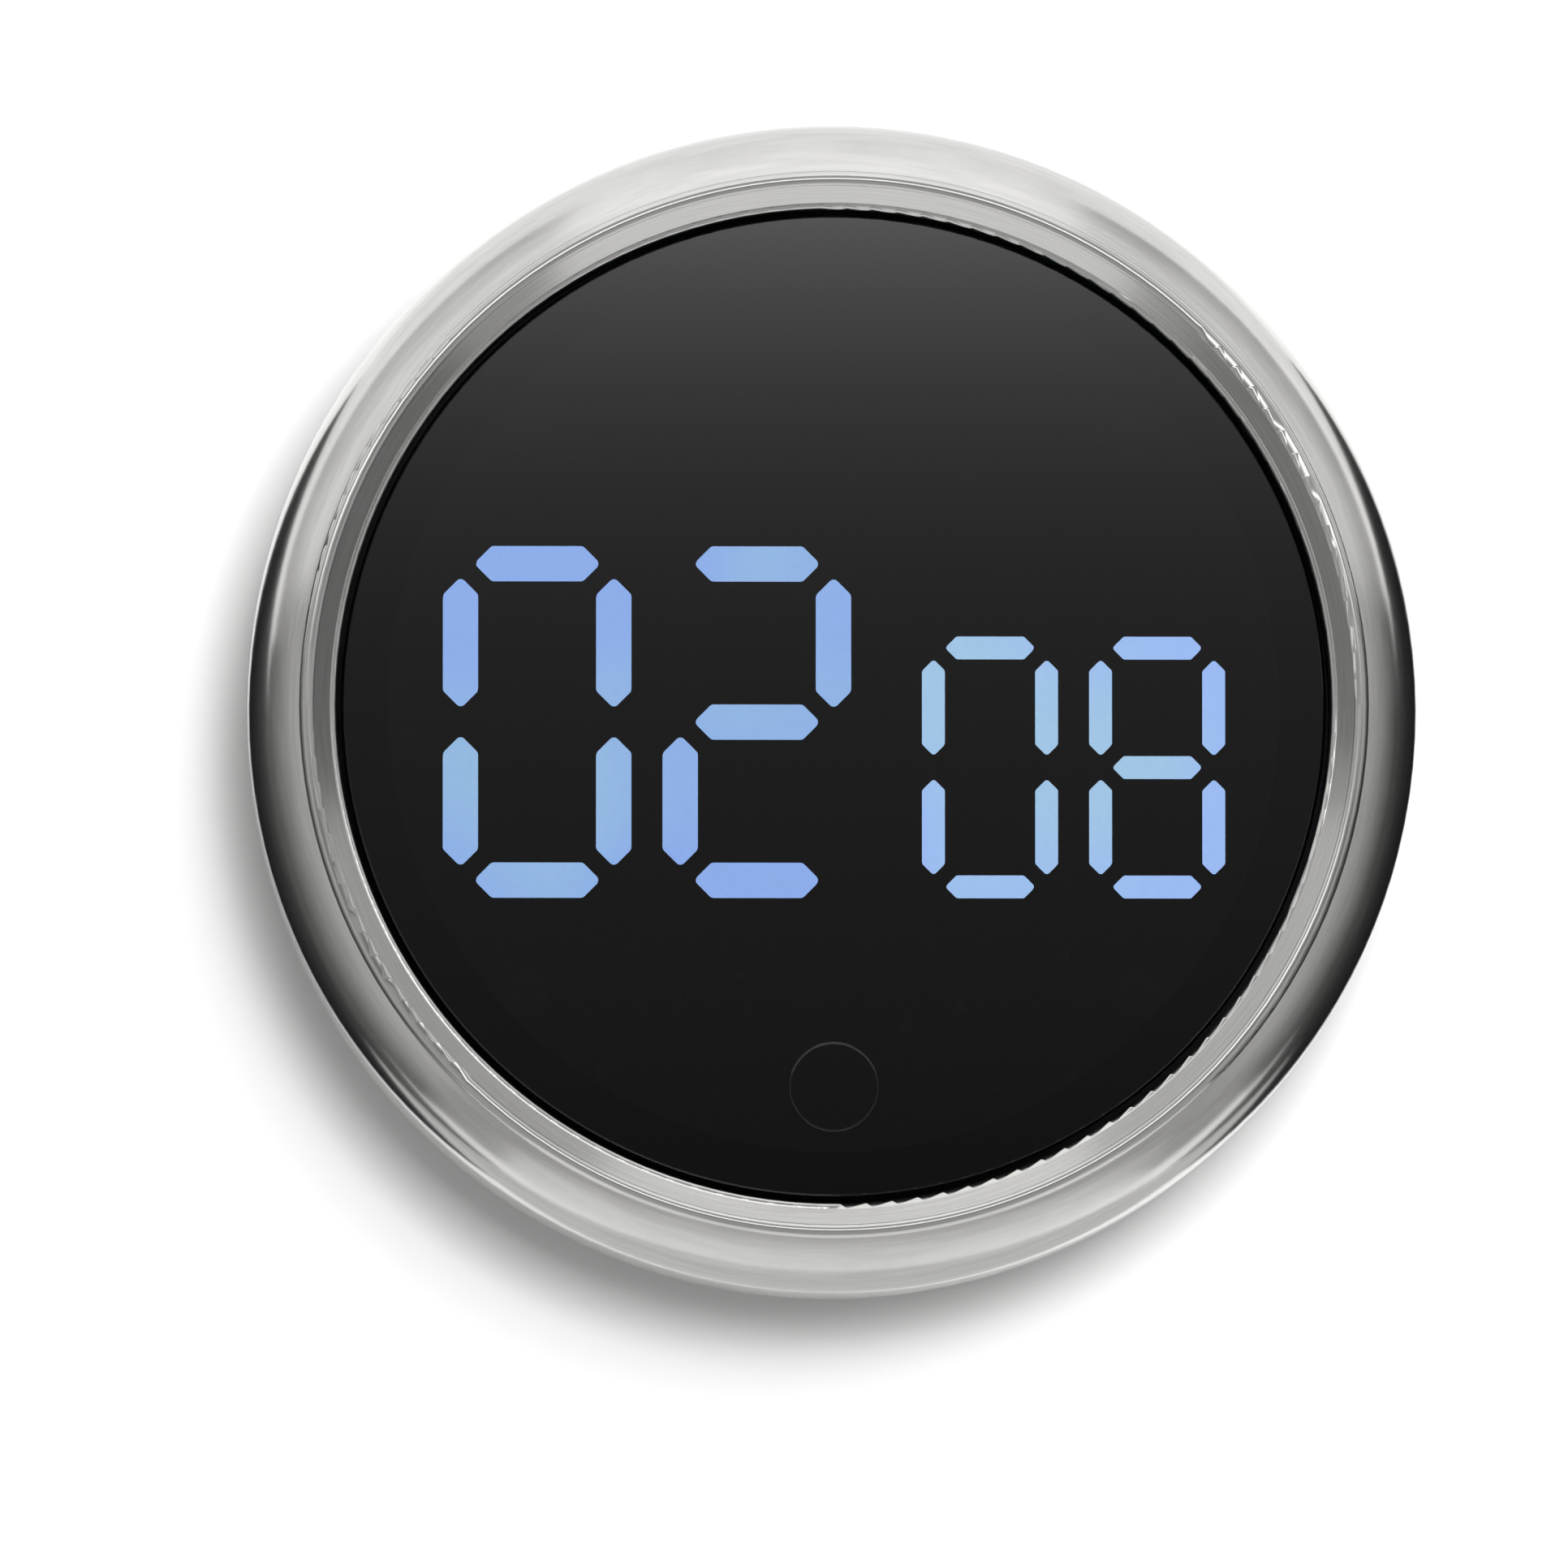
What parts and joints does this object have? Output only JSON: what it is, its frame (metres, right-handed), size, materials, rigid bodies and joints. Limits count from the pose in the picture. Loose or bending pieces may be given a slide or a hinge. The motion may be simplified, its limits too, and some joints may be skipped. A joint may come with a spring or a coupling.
{
  "type": "kitchen timer",
  "caption": "Round magnetic kitchen timer with a turning steel ring, a lit digital display behind a face that is pressed, and a battery door in the back.",
  "frame": {"origin": "centre of the foot ring's lower face, where the timer rests on its back", "axes": "+Z out of the face, +Y towards twelve o'clock, +X to the right of the display"},
  "size_m": [0.078, 0.078, 0.0275],
  "materials": {
    "satin_steel": "satin, brushed round the ring",
    "screw_steel": "plated",
    "contact_metal": "nickel plated",
    "magnet_metal": "nickel plated",
    "case_plastic": "fine matt texture",
    "chassis_plastic": "matt",
    "carrier_plastic": "matt",
    "gear_plastic": "natural acetal",
    "washer_plastic": "slippery, matt",
    "button_plastic": "moulded",
    "part_plastic": "moulded",
    "display_black": "dead matt",
    "segment_light": "diffusing, lit",
    "segment_dark": "diffusing, unlit",
    "led_chip": "phosphor",
    "board_green": "solder mask",
    "smoked_lens": "smoked, polished",
    "foot_silicone": "soft, matt",
    "cell_sleeve": "printed film",
    "adhesive": "tape",
    "switch_metal": "pressed sheet",
    "wire_red": "insulation",
    "wire_yellow": "insulation",
    "wire_blue": "insulation"
  },
  "bodies": {
    "case": {"rear_case": "case_plastic", "foot_ring": "foot_silicone", "magnets": "magnet_metal", "cells": "cell_sleeve", "positive_contact": "contact_metal", "negative_contact": "contact_metal", "bridge_contacts": "contact_metal", "contact_springs": "contact_metal", "buzzer": "part_plastic", "volume_switch": "switch_metal", "volume_board": "board_green", "case_screws": "screw_steel", "glide_washer": "washer_plastic", "chassis": "chassis_plastic", "circuit_board": "board_green", "board_screws": "screw_steel", "encoder": "part_plastic", "display_housing": "display_black", "led_chips": "led_chip", "controller_chip": "part_plastic", "passives": "led_chip", "minutes_tens_light": "segment_light", "minutes_units_light": "segment_light", "seconds_tens_light": "segment_light", "seconds_units_light": "segment_light", "unlit_segments": "segment_dark", "tact_switch": "part_plastic", "battery_leads": "wire_red", "buzzer_leads": "wire_yellow", "volume_leads": "wire_blue"},
    "ring": {"bezel_trim": "satin_steel", "ring_carrier": "carrier_plastic", "ring_gear": "gear_plastic", "ring_gear_screws": "screw_steel"},
    "pinion": {"pinion": "gear_plastic", "encoder_shaft": "screw_steel"},
    "face": {"face_frame": "chassis_plastic", "lens_adhesive": "adhesive", "lens": "smoked_lens"},
    "plunger": {"plunger": "button_plastic"},
    "door": {"battery_door": "case_plastic"},
    "slider": {"volume_slider": "button_plastic"}
  },
  "joints": [
    {"name": "ring_turn", "type": "hinge", "parent": "case", "child": "ring", "pos_m": [0, 0, 0.018], "axis": [0, 0, 1], "continuous": true},
    {"name": "pinion_spin", "type": "hinge", "parent": "case", "child": "pinion", "pos_m": [0.028, 0, 0.011], "axis": [0, 0, 1], "continuous": true},
    {"name": "face_press", "type": "hinge", "parent": "case", "child": "face", "pos_m": [0, 0.0295, 0.02205], "axis": [1, 0, 0], "range_deg": [0, 0.35], "stiffness_Nm_per_rad": 2, "springref_deg": -2.01},
    {"name": "plunger_press", "type": "slide", "parent": "case", "child": "plunger", "axis": [0, 0, -1], "range_m": [0, 0.00034]},
    {"name": "door_swing", "type": "hinge", "parent": "case", "child": "door", "pos_m": [0, 0.0249, 0.0013], "axis": [1, 0, 0], "range_deg": [0, 85]},
    {"name": "volume_slide", "type": "slide", "parent": "case", "child": "slider", "axis": [0, 1, 0], "range_m": [-0.002, 0.002]}
  ],
  "couplings": [
    {"joint": "pinion_spin", "follows": "ring_turn", "ratio": 6},
    {"joint": "plunger_press", "follows": "face_press", "m_per_rad": 0.0549}
  ]
}
